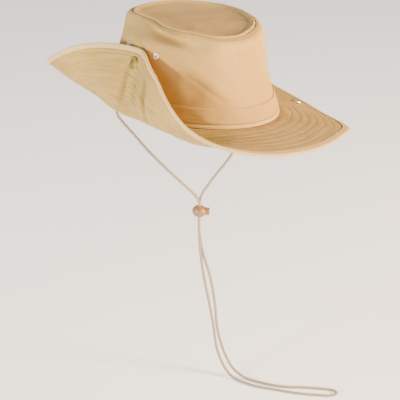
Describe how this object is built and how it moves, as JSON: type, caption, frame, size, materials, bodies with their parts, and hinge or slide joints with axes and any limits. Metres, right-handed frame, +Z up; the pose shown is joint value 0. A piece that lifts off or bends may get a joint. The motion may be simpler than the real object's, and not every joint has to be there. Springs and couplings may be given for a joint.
{
  "type": "bush hat",
  "caption": "Cloth bush hat with a wide stitched brim snapped up at one side, a crown with vent eyelets, and a long chin cord with a cord lock.",
  "frame": {"origin": "middle of the head opening, at the height of the seam between crown and brim", "axes": "+Z up through the crown; +Y to the back of the hat, along its length; -X is the side whose brim is snapped up"},
  "size_m": [0.2696, 0.3568, 0.4184],
  "materials": {
    "crown_tip": "woven cotton twill",
    "crown_side": "woven cotton twill",
    "hat_band": "woven cotton twill",
    "band_welt": "woven cotton twill",
    "brim": "woven cotton twill",
    "brim_binding": "woven cotton twill",
    "cord_tab_left": "woven cotton twill",
    "cord_tab_right": "woven cotton twill",
    "eyelet_left_front": "nickel-plated, satin",
    "eyelet_left_back": "nickel-plated, satin",
    "eyelet_right_front": "nickel-plated, satin",
    "eyelet_right_back": "nickel-plated, satin",
    "snap_cap_left": "antique brass plating, satin",
    "snap_cap_right": "antique brass plating, satin",
    "snap_socket_left": "nickel-plated, satin",
    "snap_stud_left": "nickel-plated, satin",
    "snap_socket_right": "nickel-plated, satin",
    "snap_stud_right": "nickel-plated, satin",
    "chin_cord": "braided cotton",
    "cord_lock_body": "turned and varnished",
    "cord_lock_plunger": "turned and varnished"
  },
  "bodies": {
    "hat": {"crown_tip": "crown_tip", "crown_side": "crown_side", "hat_band": "hat_band", "band_welt": "band_welt", "brim": "brim", "brim_binding": "brim_binding", "cord_tab_left": "cord_tab_left", "cord_tab_right": "cord_tab_right", "eyelet_left_front": "eyelet_left_front", "eyelet_left_back": "eyelet_left_back", "eyelet_right_front": "eyelet_right_front", "eyelet_right_back": "eyelet_right_back", "snap_cap_left": "snap_cap_left", "snap_cap_right": "snap_cap_right", "snap_socket_left": "snap_socket_left", "snap_stud_left": "snap_stud_left", "snap_socket_right": "snap_socket_right", "snap_stud_right": "snap_stud_right", "chin_cord": "chin_cord", "cord_lock_body": "cord_lock_body"},
    "plunger": {"cord_lock_plunger": "cord_lock_plunger"}
  },
  "joints": [
    {"name": "plunger_press", "type": "slide", "parent": "hat", "child": "plunger", "axis": [-0.7314, 0.682, 0], "range_m": [0, 0.0016], "stiffness_N_per_m": 400}
  ]
}
